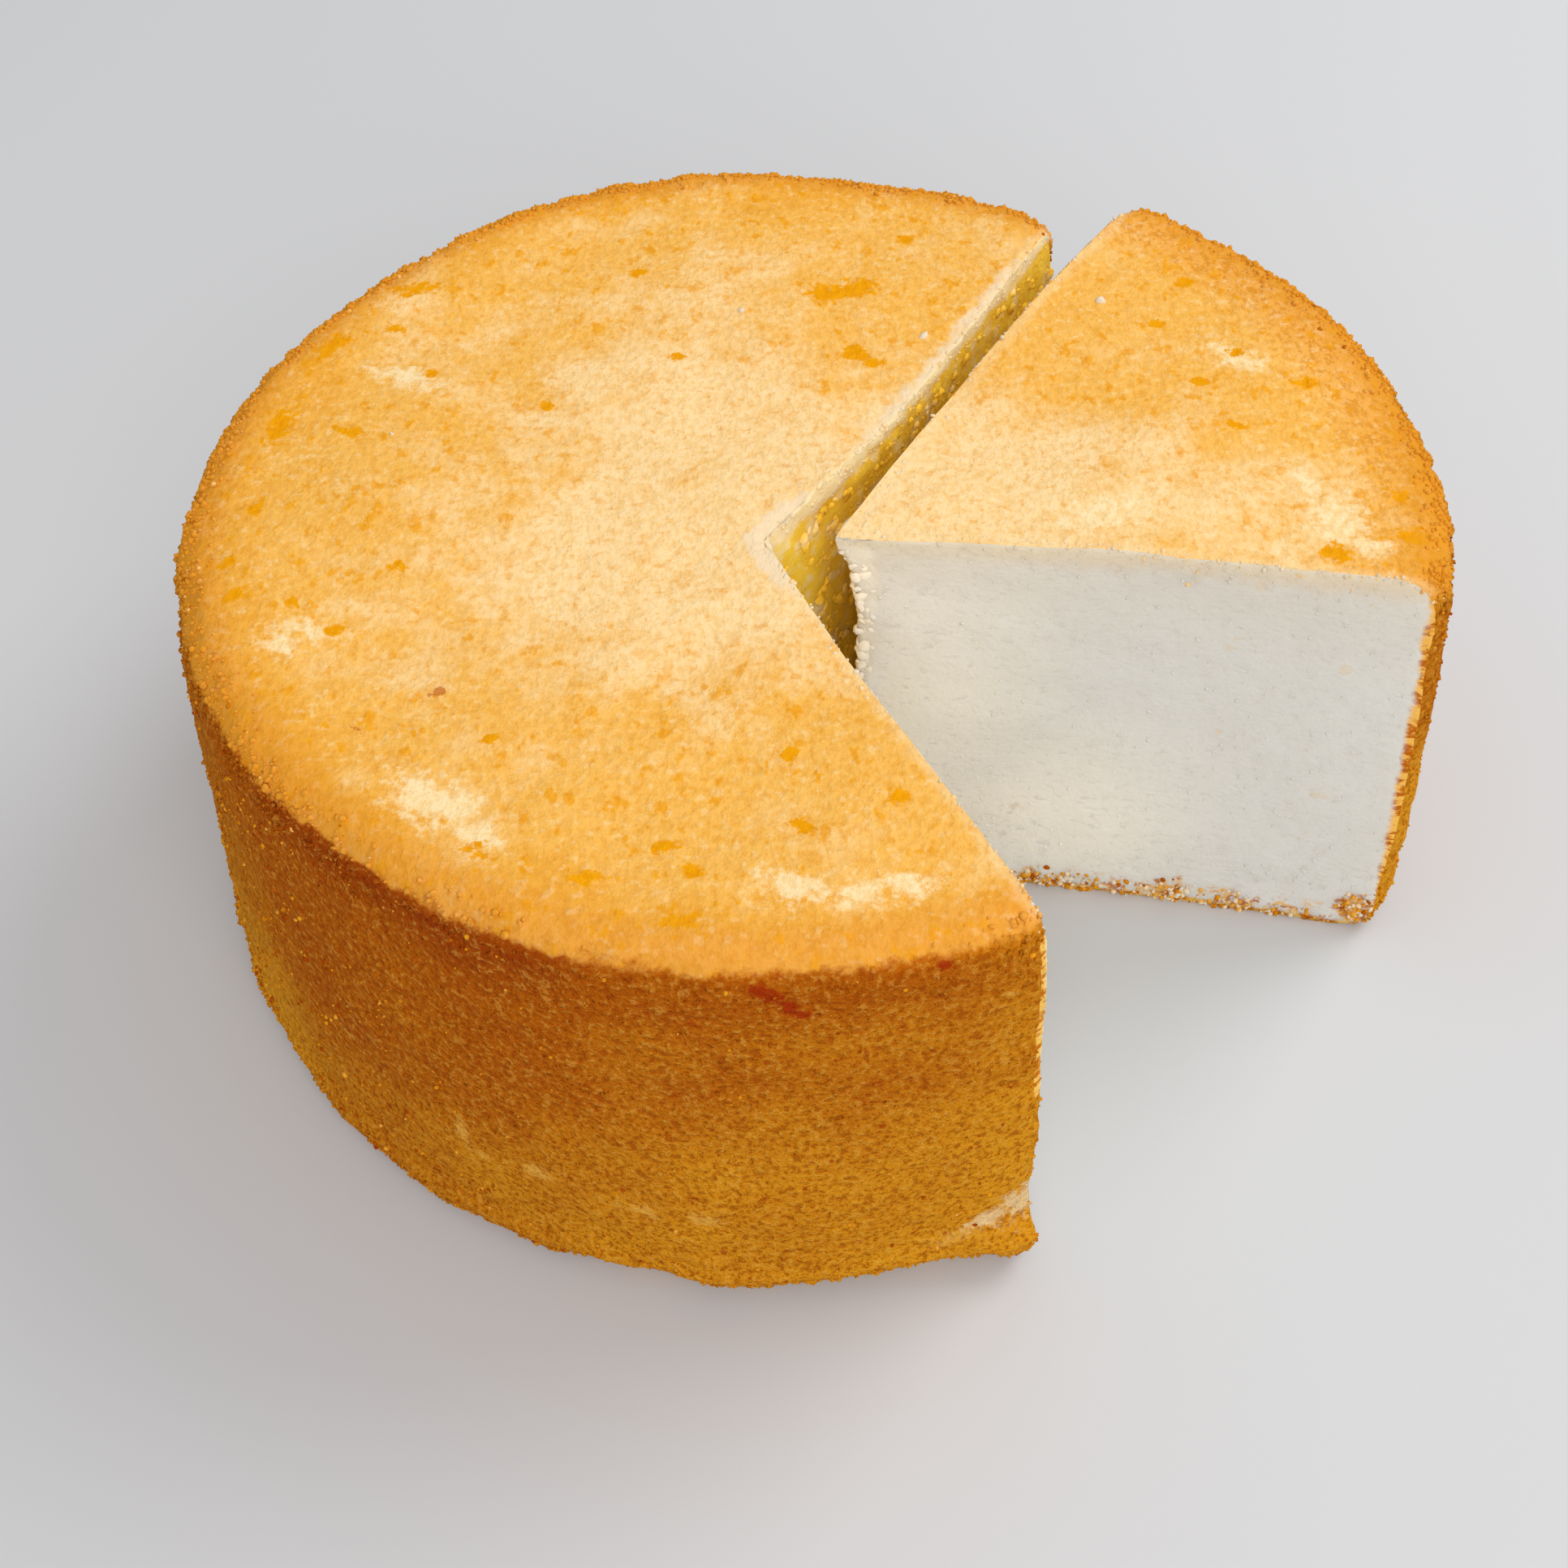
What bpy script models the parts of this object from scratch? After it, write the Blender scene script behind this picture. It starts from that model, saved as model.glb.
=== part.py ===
"""A plain chiffon cake with no centre hole, turned out upside down and cut.

Two solids stand in the cake's round outline: a large piece, from which a sector has been taken,
and a loose slice that has been pulled a little out of the gap. The narrow end of the baking tin
made the flat top, so the side flares towards the base, where the baked edge curls out as a foot.
Units are metres, +Z is up, and the origin is on the base, under the centre of the round top.
"""

import math

import bmesh
import bpy
from mathutils import Vector, noise

# Driving dimensions of the whole cake.
HEIGHT = 0.0660
TOP_RADIUS = 0.0725
BASE_RADIUS = 0.0785
BELLY_OUT = 0.0004
RIM_ROUNDING = 0.0048
BASE_ROUNDING = 0.0058
FOOT_OUT = 0.0006
FOOT_HEIGHT = 0.0080
WAIST_IN = 0.0005

# The large piece, whose base has settled a little behind its top, towards +Y.
NOTCH_APEX = Vector((-0.0003, -0.0094))
NOTCH_START = math.radians(58.0)
NOTCH_END = math.radians(296.9)
NOTCH_START_BOW = 0.0014
NOTCH_END_BOW = -0.0008
NOTCH_START_WORN = 0.0022
NOTCH_END_WORN = 0.0005
NOTCH_END_CURL = 0.0022
LARGE_LEAN = Vector((0.0002, 0.0024))

# The loose slice: where its round centre and its tip lie, and the crumbs that lean out at the tip.
SLICE_SHIFT = Vector((0.0121, 0.0039))
SLICE_APEX = Vector((0.0111, -0.0073))
SLICE_START = math.radians(-9.7)
SLICE_END = math.radians(58.3)
SLICE_START_BOW = -0.0011
SLICE_END_BOW = 0.0018
SLICE_START_WORN = 0.0016
SLICE_END_WORN = 0.0028
SLICE_LEAN = Vector((0.0, -0.0006))
SLICE_TIP_OUT = 0.0030
SLICE_TIP_DEPTH = 0.010

# Unevenness: (height of the bumps, distance between them).
TOP_BUMPS = ((0.0007, 0.030), (0.00028, 0.0085))
SIDE_BUMPS = ((0.00045, 0.034), (0.00025, 0.0080))
RIM_CRAGS = (0.00045, 0.0060)
FOOT_CRAGS = (0.00055, 0.0065)
CRUMB_BUMPS = ((0.0004, 0.022), (0.00030, 0.0060))

# How finely the shape is divided. Rings stand closer together over a worn corner of the crust.
RING_SPACING = 0.0047
CORNER_LENGTH = 0.0048
CORNER_SHARES = (0.0, 0.25, 0.55, 1.0)
BOW_LENGTH = 0.014
CURL_LENGTH = 0.016
TOP_STEPS = 13
RIM_STEPS = 4
SIDE_STEPS = 11
FOOT_STEPS = 4
BASE_STEPS = 3

GOLDEN_CRUST = (0.86, 0.50, 0.14, 1.0)
PALE_CRUMB = (0.80, 0.74, 0.58, 1.0)


def clear_scene():
    for thing in list(bpy.data.objects):
        bpy.data.objects.remove(thing, do_unlink=True)


def bumps(place, layers, seed):
    """Smooth seeded unevenness at a place: a sum of noise layers, each (height, spacing)."""
    shift = Vector((seed * 3.7, seed * 1.9, seed * 5.3))
    return sum(height * 2 * noise.noise(place / spacing + shift) for height, spacing in layers)


def smooth_step(value, low, high):
    share = min(max((value - low) / (high - low), 0.0), 1.0)
    return share * share * (3 - 2 * share)


def side_radius(z):
    """The flaring side, a little full in the middle and drawn in at the waist above the foot."""
    up = z / HEIGHT
    radius = BASE_RADIUS + (TOP_RADIUS - BASE_RADIUS) * up
    belly = 4 * up * (1 - up)
    foot = 1 - smooth_step(z, BASE_ROUNDING * 0.8, FOOT_HEIGHT)
    waist = math.exp(-(((z - FOOT_HEIGHT * 1.35) / (FOOT_HEIGHT * 0.6)) ** 2))
    return radius + BELLY_OUT * belly + FOOT_OUT * foot - WAIST_IN * waist


def rim_arc():
    """(radius, z) round the top rim, from the edge of the flat top to the start of the side."""
    centre_z = HEIGHT - RIM_ROUNDING
    centre_radius = side_radius(centre_z) - RIM_ROUNDING
    turns = [math.pi / 2 * (1 - step / RIM_STEPS) for step in range(RIM_STEPS + 1)]
    return [
        (centre_radius + RIM_ROUNDING * math.cos(turn), centre_z + RIM_ROUNDING * math.sin(turn))
        for turn in turns
    ]


def side_line():
    """(radius, z) down the side, from under the rim to the top of the foot."""
    top, bottom = HEIGHT - RIM_ROUNDING, FOOT_HEIGHT * 1.6
    heights = [top + (bottom - top) * step / SIDE_STEPS for step in range(1, SIDE_STEPS + 1)]
    return [(side_radius(z), z) for z in heights]


def foot_line():
    """(radius, z) down the foot, to where the base rounds under."""
    top, bottom = FOOT_HEIGHT * 1.6, BASE_ROUNDING
    heights = [top + (bottom - top) * step / FOOT_STEPS for step in range(1, FOOT_STEPS + 1)]
    return [(side_radius(z), z) for z in heights]


def base_arc():
    """(radius, z) round under the foot, down to the flat base."""
    centre = side_radius(BASE_ROUNDING) - BASE_ROUNDING
    turns = [math.pi / 2 * step / BASE_STEPS for step in range(1, BASE_STEPS + 1)]
    return [
        (centre + BASE_ROUNDING * math.cos(turn), BASE_ROUNDING * (1 - math.sin(turn)))
        for turn in turns
    ]


OUTER_PROFILE = rim_arc() + side_line() + foot_line() + base_arc()


class Cut:
    """An upright cut through the cake, and what it has done to the crust beside it.

    The angle is from +X, seen from above. A positive bow swells out of the piece. The worn depth
    is how far the crust corner has lost its sharp edge, and the curl how far the foot turns out.
    """

    def __init__(self, angle, bow, worn, curl=0.0):
        self.angle = angle
        self.bow = bow
        self.worn = worn
        self.curl = curl


class Piece:
    """A sector of the cake between two cuts that meet at an upright apex line."""

    def __init__(self, name, seed, centre, apex, start, end, lean, tip_out=0.0):
        self.name = name
        self.seed = seed
        self.centre = centre
        self.apex = apex
        self.start = start
        self.end = end
        self.lean = lean
        self.tip_out = tip_out
        self.arc = (end.angle - start.angle) * TOP_RADIUS

    def angle(self, turn):
        return self.start.angle + (self.end.angle - self.start.angle) * turn

    def ring_turns(self):
        """Shares of the turn between the cuts at which a ring of points stands."""
        near = [CORNER_LENGTH * share / self.arc for share in CORNER_SHARES]
        steps = max(1, round((self.arc - 2 * CORNER_LENGTH) / RING_SPACING))
        middle = [near[-1] + (1 - 2 * near[-1]) * step / steps for step in range(1, steps)]
        return near + middle + [1 - turn for turn in reversed(near)]

    def worn(self, turn):
        """How far the crust is drawn in at a share of the turn: only its two corners are."""
        drawn = 0.0
        for cut, gap in ((self.start, turn), (self.end, 1 - turn)):
            close = max(0.0, 1 - gap * self.arc / CORNER_LENGTH)
            drawn += cut.worn * (1 - math.sqrt(1 - close * close))
        return drawn

    def curl(self, turn):
        """How far the foot turns out at a share of the turn, beside a cut that has lifted it."""
        near_start = 1 - smooth_step(turn * self.arc, 0.0, CURL_LENGTH)
        near_end = 1 - smooth_step((1 - turn) * self.arc, 0.0, CURL_LENGTH)
        return self.start.curl * near_start + self.end.curl * near_end

    def reach(self, angle, radius):
        """Distance from the apex, along an angle, to the circle of this radius about the centre."""
        ray = Vector((math.cos(angle), math.sin(angle)))
        back = self.apex - self.centre
        along = back.dot(ray)
        return -along + math.sqrt(along * along - back.dot(back) + radius * radius)

    def settle(self, z):
        """How far the piece has slid sideways at a height, against its top."""
        return self.lean * (1 - z / HEIGHT)

    def tip(self, z):
        """How far the apex line leans out of the piece at a height: only the crumbly top does."""
        middle = self.angle(0.5)
        lean = self.tip_out * smooth_step(z, HEIGHT - SLICE_TIP_DEPTH, HEIGHT)
        return Vector((-math.cos(middle), -math.sin(middle))) * lean

    def place(self, turn, distance, z):
        """A point at a share of the turn between the cuts, and a distance from the apex."""
        angle = self.angle(turn)
        share = min(distance / self.reach(angle, TOP_RADIUS), 1.0)
        swell = 4 * (1 - share) / TOP_RADIUS
        near_start = max(0.0, 1 - turn * self.arc / BOW_LENGTH)
        near_end = max(0.0, 1 - (1 - turn) * self.arc / BOW_LENGTH)
        angle += swell * (self.end.bow * near_end - self.start.bow * near_start)
        drift = self.tip(z) * (1 - share) ** 2 + self.settle(z)
        x = self.apex.x + distance * math.cos(angle) + drift.x
        y = self.apex.y + distance * math.sin(angle) + drift.y
        return Vector((x, y, z))

    def outer_point(self, turn, radius, z):
        """A point on the side, rim or foot, pushed out or in by its bumps and crags."""
        point = self.place(turn, self.reach(self.angle(turn), radius - self.worn(turn)), z)
        outward = (point.xy - self.centre - self.settle(z)).normalized()
        rim = smooth_step(z, HEIGHT - 2 * RIM_ROUNDING, HEIGHT - RIM_ROUNDING)
        foot = 1 - smooth_step(z, BASE_ROUNDING, FOOT_HEIGHT * 1.5)
        push = bumps(point, SIDE_BUMPS, self.seed)
        push += rim * bumps(point, (RIM_CRAGS,), self.seed + 1)
        push += foot * (bumps(point, (FOOT_CRAGS,), self.seed + 2) + self.curl(turn))
        lift = smooth_step(z, HEIGHT - RIM_ROUNDING, HEIGHT) * bumps(point, TOP_BUMPS, self.seed + 3)
        return point + Vector((outward.x * push, outward.y * push, lift))

    def top_point(self, turn, share):
        """A point on the flat top, at a share of the way from the apex to the rim."""
        radius = OUTER_PROFILE[0][0] - self.worn(turn)
        point = self.place(turn, share * self.reach(self.angle(turn), radius), HEIGHT)
        edge = smooth_step(share, 0.88, 1.0)
        outward = (point.xy - self.centre).normalized() * edge
        push = bumps(point, SIDE_BUMPS, self.seed) + bumps(point, (RIM_CRAGS,), self.seed + 1)
        lift = bumps(point, TOP_BUMPS, self.seed + 3)
        return point + Vector((outward.x * push, outward.y * push, lift))

    def base_point(self, turn, share):
        radius = OUTER_PROFILE[-1][0] - self.worn(turn)
        return self.place(turn, share * self.reach(self.angle(turn), radius), 0.0)

    def section(self, turn):
        """The section's outline at a share of the turn: along the top, down the side, back below."""
        top = [self.top_point(turn, step / TOP_STEPS) for step in range(1, TOP_STEPS + 1)]
        outer = [self.outer_point(turn, radius, z) for radius, z in OUTER_PROFILE[1:]]
        outer[-1].z = 0.0
        base = [self.base_point(turn, step / TOP_STEPS) for step in range(TOP_STEPS - 1, 0, -1)]
        return top + outer + base

    def apex_line(self):
        """The upright line where the two cuts meet, from the top down, as uneven as the crumb."""
        line = []
        for _, z in OUTER_PROFILE:
            point = Vector((self.apex.x, self.apex.y, z))
            drift = self.tip(z) + self.settle(z)
            fade = smooth_step(z, 0.0, FOOT_HEIGHT)
            shift_x = fade * bumps(point, CRUMB_BUMPS, self.seed + 4)
            shift_y = fade * bumps(point, CRUMB_BUMPS, self.seed + 5)
            line.append(point + Vector((drift.x + shift_x, drift.y + shift_y, 0.0)))
        line[0].z += bumps(line[0], TOP_BUMPS, self.seed + 3)
        return line

    def cut_face(self, outline, apex_line):
        """Rows of points over a cut face, blended from its four edges, with the crumb's bumps."""
        columns, rows = TOP_STEPS, len(apex_line) - 1
        top = [apex_line[0]] + outline[:columns]
        outer = outline[columns - 1 : columns + rows]
        base = [apex_line[-1]] + outline[columns + rows - 1 :][::-1]
        across = (outer[rows // 2] - apex_line[rows // 2]).cross(Vector((0, 0, 1))).normalized()
        grid = []
        for row in range(rows + 1):
            down = row / rows
            line = []
            for column in range(columns + 1):
                out = column / columns
                point = (
                    top[column] * (1 - down) + base[column] * down
                    + apex_line[row] * (1 - out) + outer[row] * out
                    - (top[0] * (1 - out) + top[-1] * out) * (1 - down)
                    - (base[0] * (1 - out) + base[-1] * out) * down
                )
                inside = 16 * out * (1 - out) * down * (1 - down)
                point += across * bumps(point, CRUMB_BUMPS, self.seed + 6) * min(1.0, 2 * inside)
                line.append(point)
            grid.append(line)
        return grid

    def build(self):
        """The closed solid: one skin of crust round the outside, and a grid of crumb over each cut."""
        shape = bmesh.new()
        sections = [self.section(turn) for turn in self.ring_turns()]
        skin = [[shape.verts.new(point) for point in outline] for outline in sections]
        apex_points = self.apex_line()
        apex = [shape.verts.new(point) for point in apex_points]
        for before, after in zip(skin, skin[1:]):
            shape.faces.new((apex[0], before[0], after[0]))
            shape.faces.new((apex[-1], after[-1], before[-1]))
            for index in range(len(before) - 1):
                shape.faces.new((before[index], before[index + 1], after[index + 1], after[index]))
        for outline, verts in ((sections[0], skin[0]), (sections[-1], skin[-1])):
            self.fill_cut(shape, self.cut_face(outline, apex_points), verts, apex)
        bmesh.ops.recalc_face_normals(shape, faces=shape.faces)
        mesh = bpy.data.meshes.new(self.name)
        shape.to_mesh(mesh)
        shape.free()
        return mesh

    def fill_cut(self, shape, grid, outline_verts, apex_verts):
        """Faces over one cut. The grid's edge uses the verts that the skin and apex already have."""
        columns, rows = TOP_STEPS, len(grid) - 1
        top = outline_verts[:columns]
        outer = outline_verts[columns - 1 : columns + rows]
        base = outline_verts[columns + rows - 1 :][::-1]
        verts = []
        for row, line in enumerate(grid):
            if row in (0, rows):
                verts.append([apex_verts[row]] + (top if row == 0 else base))
                continue
            inner = [shape.verts.new(point) for point in line[1:-1]]
            verts.append([apex_verts[row]] + inner + [outer[row]])
        for upper, lower in zip(verts, verts[1:]):
            for column in range(columns):
                face = shape.faces.new(
                    (upper[column], lower[column], lower[column + 1], upper[column + 1])
                )
                face.material_index = 1


def material(name, colour, roughness):
    made = bpy.data.materials.new(name)
    made.use_nodes = True
    shader = made.node_tree.nodes["Principled BSDF"]
    shader.inputs["Base Color"].default_value = colour
    shader.inputs["Roughness"].default_value = roughness
    shader.inputs["Metallic"].default_value = 0.0
    return made


def add_piece(piece, crust, crumb):
    """Puts a piece in the scene: slot 0 is the crust of its skin, slot 1 the crumb of its cuts."""
    mesh = piece.build()
    mesh.materials.append(crust)
    mesh.materials.append(crumb)
    thing = bpy.data.objects.new(piece.name, mesh)
    bpy.context.scene.collection.objects.link(thing)
    mesh.shade_smooth()
    mesh.set_sharp_from_angle(angle=math.radians(40))


def main():
    clear_scene()
    large = Piece(
        "cake_large_piece", 2, Vector((0.0, 0.0)), NOTCH_APEX,
        Cut(NOTCH_START, NOTCH_START_BOW, NOTCH_START_WORN),
        Cut(NOTCH_END, NOTCH_END_BOW, NOTCH_END_WORN, NOTCH_END_CURL),
        LARGE_LEAN,
    )
    loose = Piece(
        "cake_slice", 7, SLICE_SHIFT, SLICE_APEX,
        Cut(SLICE_START, SLICE_START_BOW, SLICE_START_WORN),
        Cut(SLICE_END, SLICE_END_BOW, SLICE_END_WORN),
        SLICE_LEAN, SLICE_TIP_OUT,
    )
    crust = material("golden_crust", GOLDEN_CRUST, 0.85)
    crumb = material("pale_crumb", PALE_CRUMB, 0.9)
    for piece in (large, loose):
        add_piece(piece, crust, crumb)


main()
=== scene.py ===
"""The looks of a plain golden chiffon cake: a large piece with a sector taken out, and a slice.

Each solid gets a finer skin of the same form, whose velvety crust and open crumb are relief and
bumps, and joined meshes of small crumbs sit on it. Lengths are in metres where they aren't said to
be in millimetres, in the part's own frame: +Z is up and the origin is on the base, under the centre
of the round top.
"""

import math

import bmesh
import bpy
import numpy as np
from mathutils import Matrix, Vector


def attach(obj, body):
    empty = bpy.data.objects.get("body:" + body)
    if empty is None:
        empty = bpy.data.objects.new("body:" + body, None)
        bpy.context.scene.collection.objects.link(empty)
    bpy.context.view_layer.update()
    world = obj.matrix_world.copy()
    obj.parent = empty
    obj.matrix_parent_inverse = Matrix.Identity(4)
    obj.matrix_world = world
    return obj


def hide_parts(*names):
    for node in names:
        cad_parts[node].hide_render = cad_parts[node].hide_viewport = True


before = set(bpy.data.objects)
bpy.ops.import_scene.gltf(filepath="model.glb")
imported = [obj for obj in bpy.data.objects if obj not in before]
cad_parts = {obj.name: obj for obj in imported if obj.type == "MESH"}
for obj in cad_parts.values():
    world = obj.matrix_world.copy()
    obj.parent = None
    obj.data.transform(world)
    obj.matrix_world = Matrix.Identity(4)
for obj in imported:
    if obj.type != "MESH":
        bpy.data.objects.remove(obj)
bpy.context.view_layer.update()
MM = 0.001

# The cake's driving dimensions, as the solids have them.
HEIGHT = 66.0 * MM
TOP_RADIUS = 72.5 * MM
BASE_RADIUS = 78.5 * MM

# How the solids' triangles are joined, smoothed and divided for the skins, and which edges stay crisp.
JOIN_ANGLE = math.radians(60)
SMOOTH_LEVELS = 2
LONGEST_EDGE = 1.2 * MM
SHARP_ANGLE = math.radians(40)
CRISP_SHADING_ANGLE = math.radians(60)
CREASE, TORN_CREASE = 0.85, 0.5

# A face belongs to a cut where it is no flatter than this, and either its corners stray no further
# than this from the cut or they all lie well inside the round.
FLATTEST_CUT = 0.6
CUT_STRAY = 0.95 * MM
WELL_INSIDE = 0.8 * TOP_RADIUS

# Points within the band count as the top. The base is the faces below its level.
TOP_BAND = 4 * MM
BASE_LEVEL = 0.05 * MM

# The camera: it looks along +Y and down, as a person does who stands at the table.
CAMERA_PLACE = Vector((0.001595, -0.189196, 0.231587))
CAMERA_DOWN = math.radians(49.52)
CAMERA_ROLL = math.radians(-0.93)
CAMERA_LENS = 46.01
CLOSEST_SEEN = 0.01

# Light, in watts for the lamps, which aim at the middle of the cake. The key light is as wide as a
# window, to the right and a little behind.
WORLD_GREY = (0.62, 0.63, 0.65, 1.0)
WORLD_STRENGTH = 0.90
LAMP_AIM = Vector((0, 0, 0.03))
KEY_FROM, KEY_SIZE, KEY_WATTS = Vector((0.68, 0.39, 0.80)), 0.7, 5.5
FILL_FROM, FILL_SIZE, FILL_WATTS = Vector((0.16, -0.92, 0.74)), 1.0, 7.2
FLOOR_SIZE = 6.0
FLOOR_COLOUR = (0.60, 0.60, 0.60, 1.0)
FLOOR_ROUGHNESS = 0.8

# Colours, as linear albedo.
TOP_PALE = (0.90, 0.63, 0.30, 1.0)
TOP_GOLD = (0.845, 0.452, 0.09, 1.0)
TOP_ORANGE = (0.77, 0.32, 0.012, 1.0)
FRECKLE = (0.80, 0.33, 0.003, 1.0)
PATCH_PALE = (0.91, 0.70, 0.38, 1.0)
RIM_ORANGE = (0.71, 0.285, 0.018, 1.0)
SIDE_GOLD = (0.745, 0.312, 0.011, 1.0)
SIDE_BROWN = (0.46, 0.112, 0.003, 1.0)
SIDE_DARK = (0.31, 0.043, 0.002, 1.0)
SIDE_PALE = (0.82, 0.43, 0.07, 1.0)
MARK_BROWN = (0.50, 0.13, 0.008, 1.0)
MARK_RED = (0.36, 0.03, 0.002, 1.0)
CRUMB_CREAM = (0.70, 0.675, 0.615, 1.0)
CRUMB_SHADE = (0.64, 0.60, 0.53, 1.0)
CRUMB_WARM_LIT = (0.92, 0.85, 0.71, 1.0)
CRUMB_BEIGE = (0.72, 0.59, 0.42, 1.0)
TORN_PEACH = (0.84, 0.66, 0.43, 1.0)
# The golden cut's wall, as painted light: a lit lip, and warm bounce light and glow below it.
KERF_LIT_LIP = (0.90, 0.67, 0.35, 1.0)
KERF_GLOW_CREAM = (0.94, 0.68, 0.27, 1.0)
KERF_GLOW_YELLOW = (0.97, 0.58, 0.045, 1.0)
HIDDEN_CREAM = (0.97, 0.86, 0.68, 1.0)
TAN = (0.79, 0.35, 0.075, 1.0)
PORE_BROWN = (0.66, 0.27, 0.02, 1.0)

# Painted shade in the pits and painted highlight on the tips of the top's grain: what the colour is
# multiplied by there.
PIT_SHADE_TINT = (0.96, 0.88, 0.72, 1.0)
TIP_HIGHLIGHT_TINT = (1.03, 1.03, 1.06, 1.0)

# The noise's place is multiplied by these: the side's broad streaks and the crumb's pores are
# squeezed in height, and the top's grain is drawn out from front to back.
LEVEL = (1.0, 1.0, 1.35)
LEVEL_PORES = (0.8, 0.8, 1.6)
FORESHORTENED = (1.0, 0.7, 1.0)

# Light travels under a cut's surface: the share of it that does, and how far, for red, green, blue.
SOFT_SHARE = 0.6
SOFT_REACH = 6.0 * MM
SOFT_COLOURS = (1.0, 0.95, 0.8)

# Where the middle of the top is palest: (x mm, y mm, reach mm, strength).
PALE_GLOWS = (
    (-3.5, -1.0, 29, 1.1), (-9, -18, 20, 0.35), (36, 0, 17, 0.75), (-20, 22, 18, 0.3),
    (-6, 42, 22, 0.15), (62, -7, 13, 0.4),
)
# Where the tan band near the slice's rim gives way: (x mm, y mm, reach mm, strength).
TAN_GAP = (69, -8, 17, 0.7)

# A top mark's faded and broken edge reaches this far past its stated size.
MARK_GROWTH = 1.35

# Marks on the top: (x mm, y mm, half length mm, half width mm, turn in degrees).
PALE_PATCHES = (
    (-47.5, 24.5, 5.0, 2.2, -28), (-53.1, -22.9, 3.8, 1.3, -10), (-36.3, -49.3, 5.6, 3.6, -35),
    (-31.5, -54.2, 3.6, 1.7, -40), (2.6, -61.8, 3.8, 2.2, -20), (9.5, -63.0, 3.8, 1.5, 0),
    (14.4, -61.6, 3.2, 2.0, 20), (69.4, -7.4, 5.4, 3.4, 75), (67.4, -0.5, 3.8, 1.4, 95),
    (72.4, -11.8, 3.0, 1.8, -20), (62.3, 24.6, 5.2, 2.0, -45), (40.5, -5.0, 6.0, 3.0, 10),
    (-56.5, -25.0, 3.0, 1.6, -30),
)
ORANGE_MARKS = (
    (8.6, 40.2, 2.2, 1.9, 0), (12.4, 41.2, 2.9, 2.0, 15), (12.1, 27.8, 1.6, 1.5, 0),
    (14.4, 25.4, 1.3, 1.1, 0),
    (20.0, 53.5, 1.4, 1.0, 10), (-44.3, -12.8, 1.4, 0.9, 20), (-28.6, 18.3, 0.9, 0.9, 0),
    (-63.0, -2.5, 1.6, 0.9, 80), (-64.9, -11.7, 1.3, 0.9, 70), (-63.5, -17.7, 1.4, 0.9, 60),
    (-31.1, -40.1, 1.1, 0.9, 0), (-31.2, -56.4, 1.3, 1.0, 0), (-53.4, 12.5, 2.2, 0.9, -20),
    (-49.9, 34.7, 1.6, 0.9, -25), (-48.1, 43.1, 2.8, 1.2, 10), (-44.1, 24.9, 0.9, 0.8, 0),
    (-17.7, 46.4, 1.2, 0.9, 0), (-11.5, 27.7, 1.1, 0.8, 0), (-11.2, -56.1, 1.5, 0.9, 10),
    (2.5, -43.4, 1.0, 0.8, 0), (14.0, -50.4, 1.3, 0.9, 30), (3.7, -53.5, 1.5, 1.0, 0),
    (-7.8, -59.5, 1.4, 0.9, 0), (-9.0, -66.0, 1.7, 1.0, 0), (-19.0, -60.0, 1.8, 1.0, -15),
    (57.8, 41.9, 1.2, 0.9, 0), (53.0, 32.7, 1.1, 0.9, 0), (62.3, 25.7, 1.1, 0.9, 0),
    (56.6, 19.8, 1.1, 0.9, 0), (60.2, 10.8, 1.2, 0.9, 0), (-50.8, -23.0, 1.2, 0.8, 0),
    (-56.1, -18.8, 1.1, 0.9, 0), (-58.0, 31.0, 3.0, 1.2, 60), (-62.5, 14.0, 3.2, 1.4, 80),
    (70.4, 19.2, 1.7, 1.2, 15), (68.4, -12.8, 1.7, 1.4, -10), (78.2, -10.6, 1.9, 1.4, 0),
    (78.1, -3.0, 1.1, 1.0, 0),
)
BROWN_MARKS = (
    (70.6, 19.0, 0.9, 0.5, 15), (-46.9, -38.1, 1.8, 0.5, -48), (-37.5, -32.7, 1.2, 0.5, 30),
)

TOP_MARKS = {"pale_mark": PALE_PATCHES, "orange_mark": ORANGE_MARKS, "brown_mark": BROWN_MARKS}

# Marks on the large piece's side: (degrees about the axis, z mm, half width mm, half height mm).
SIDE_MARKS = {
    # The dark marks just under the rim at the front left are partly the crust's darker smears, partly
    # painted shade under the rim; the lower ones are spots of the crust.
    "dark_side_and_shade": (
        (226.0, 64.0, 5.0, 1.0), (233.5, 62.8, 4.5, 1.0), (241.0, 62.4, 5.0, 0.9),
        (249.0, 62.4, 4.5, 0.7), (236.0, 9.0, 1.0, 0.8), (246.5, 33.0, 2.0, 0.8),
        (262.5, 24.0, 1.6, 0.7),
    ),
    "red_side": (
        (268.8, 62.6, 2.1, 1.1), (270.2, 61.2, 1.6, 1.7), (271.4, 59.4, 1.7, 1.8),
        (272.4, 57.9, 1.8, 1.2), (284.2, 63.4, 1.1, 1.1),
    ),
    "pale_side": (
        (240.9, 24.5, 1.4, 3.2), (242.5, 20.5, 1.8, 1.6), (248.0, 21.6, 3.0, 2.0),
        (257.9, 19.3, 3.6, 1.8), (263.7, 19.4, 3.0, 1.8), (289.6, 56.8, 1.4, 0.6),
        (227.4, 29.0, 2.0, 1.0), (286.0, 9.0, 4.0, 1.8),
    ),
    "cream_side": (
        (292.8, 12.6, 4.2, 4.4), (295.2, 16.5, 3.2, 5.2), (289.2, 10.8, 3.4, 2.4),
    ),
}

# Golden lumps along the foot of the slice's cuts: (distance from the apex mm, z mm, reach mm).
FOOT_LUMPS = ((26.0, 2.0, 2.2), (46.0, 2.2, 3.2), (56.0, 1.0, 2.6), (71.5, 4.0, 3.2))

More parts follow.
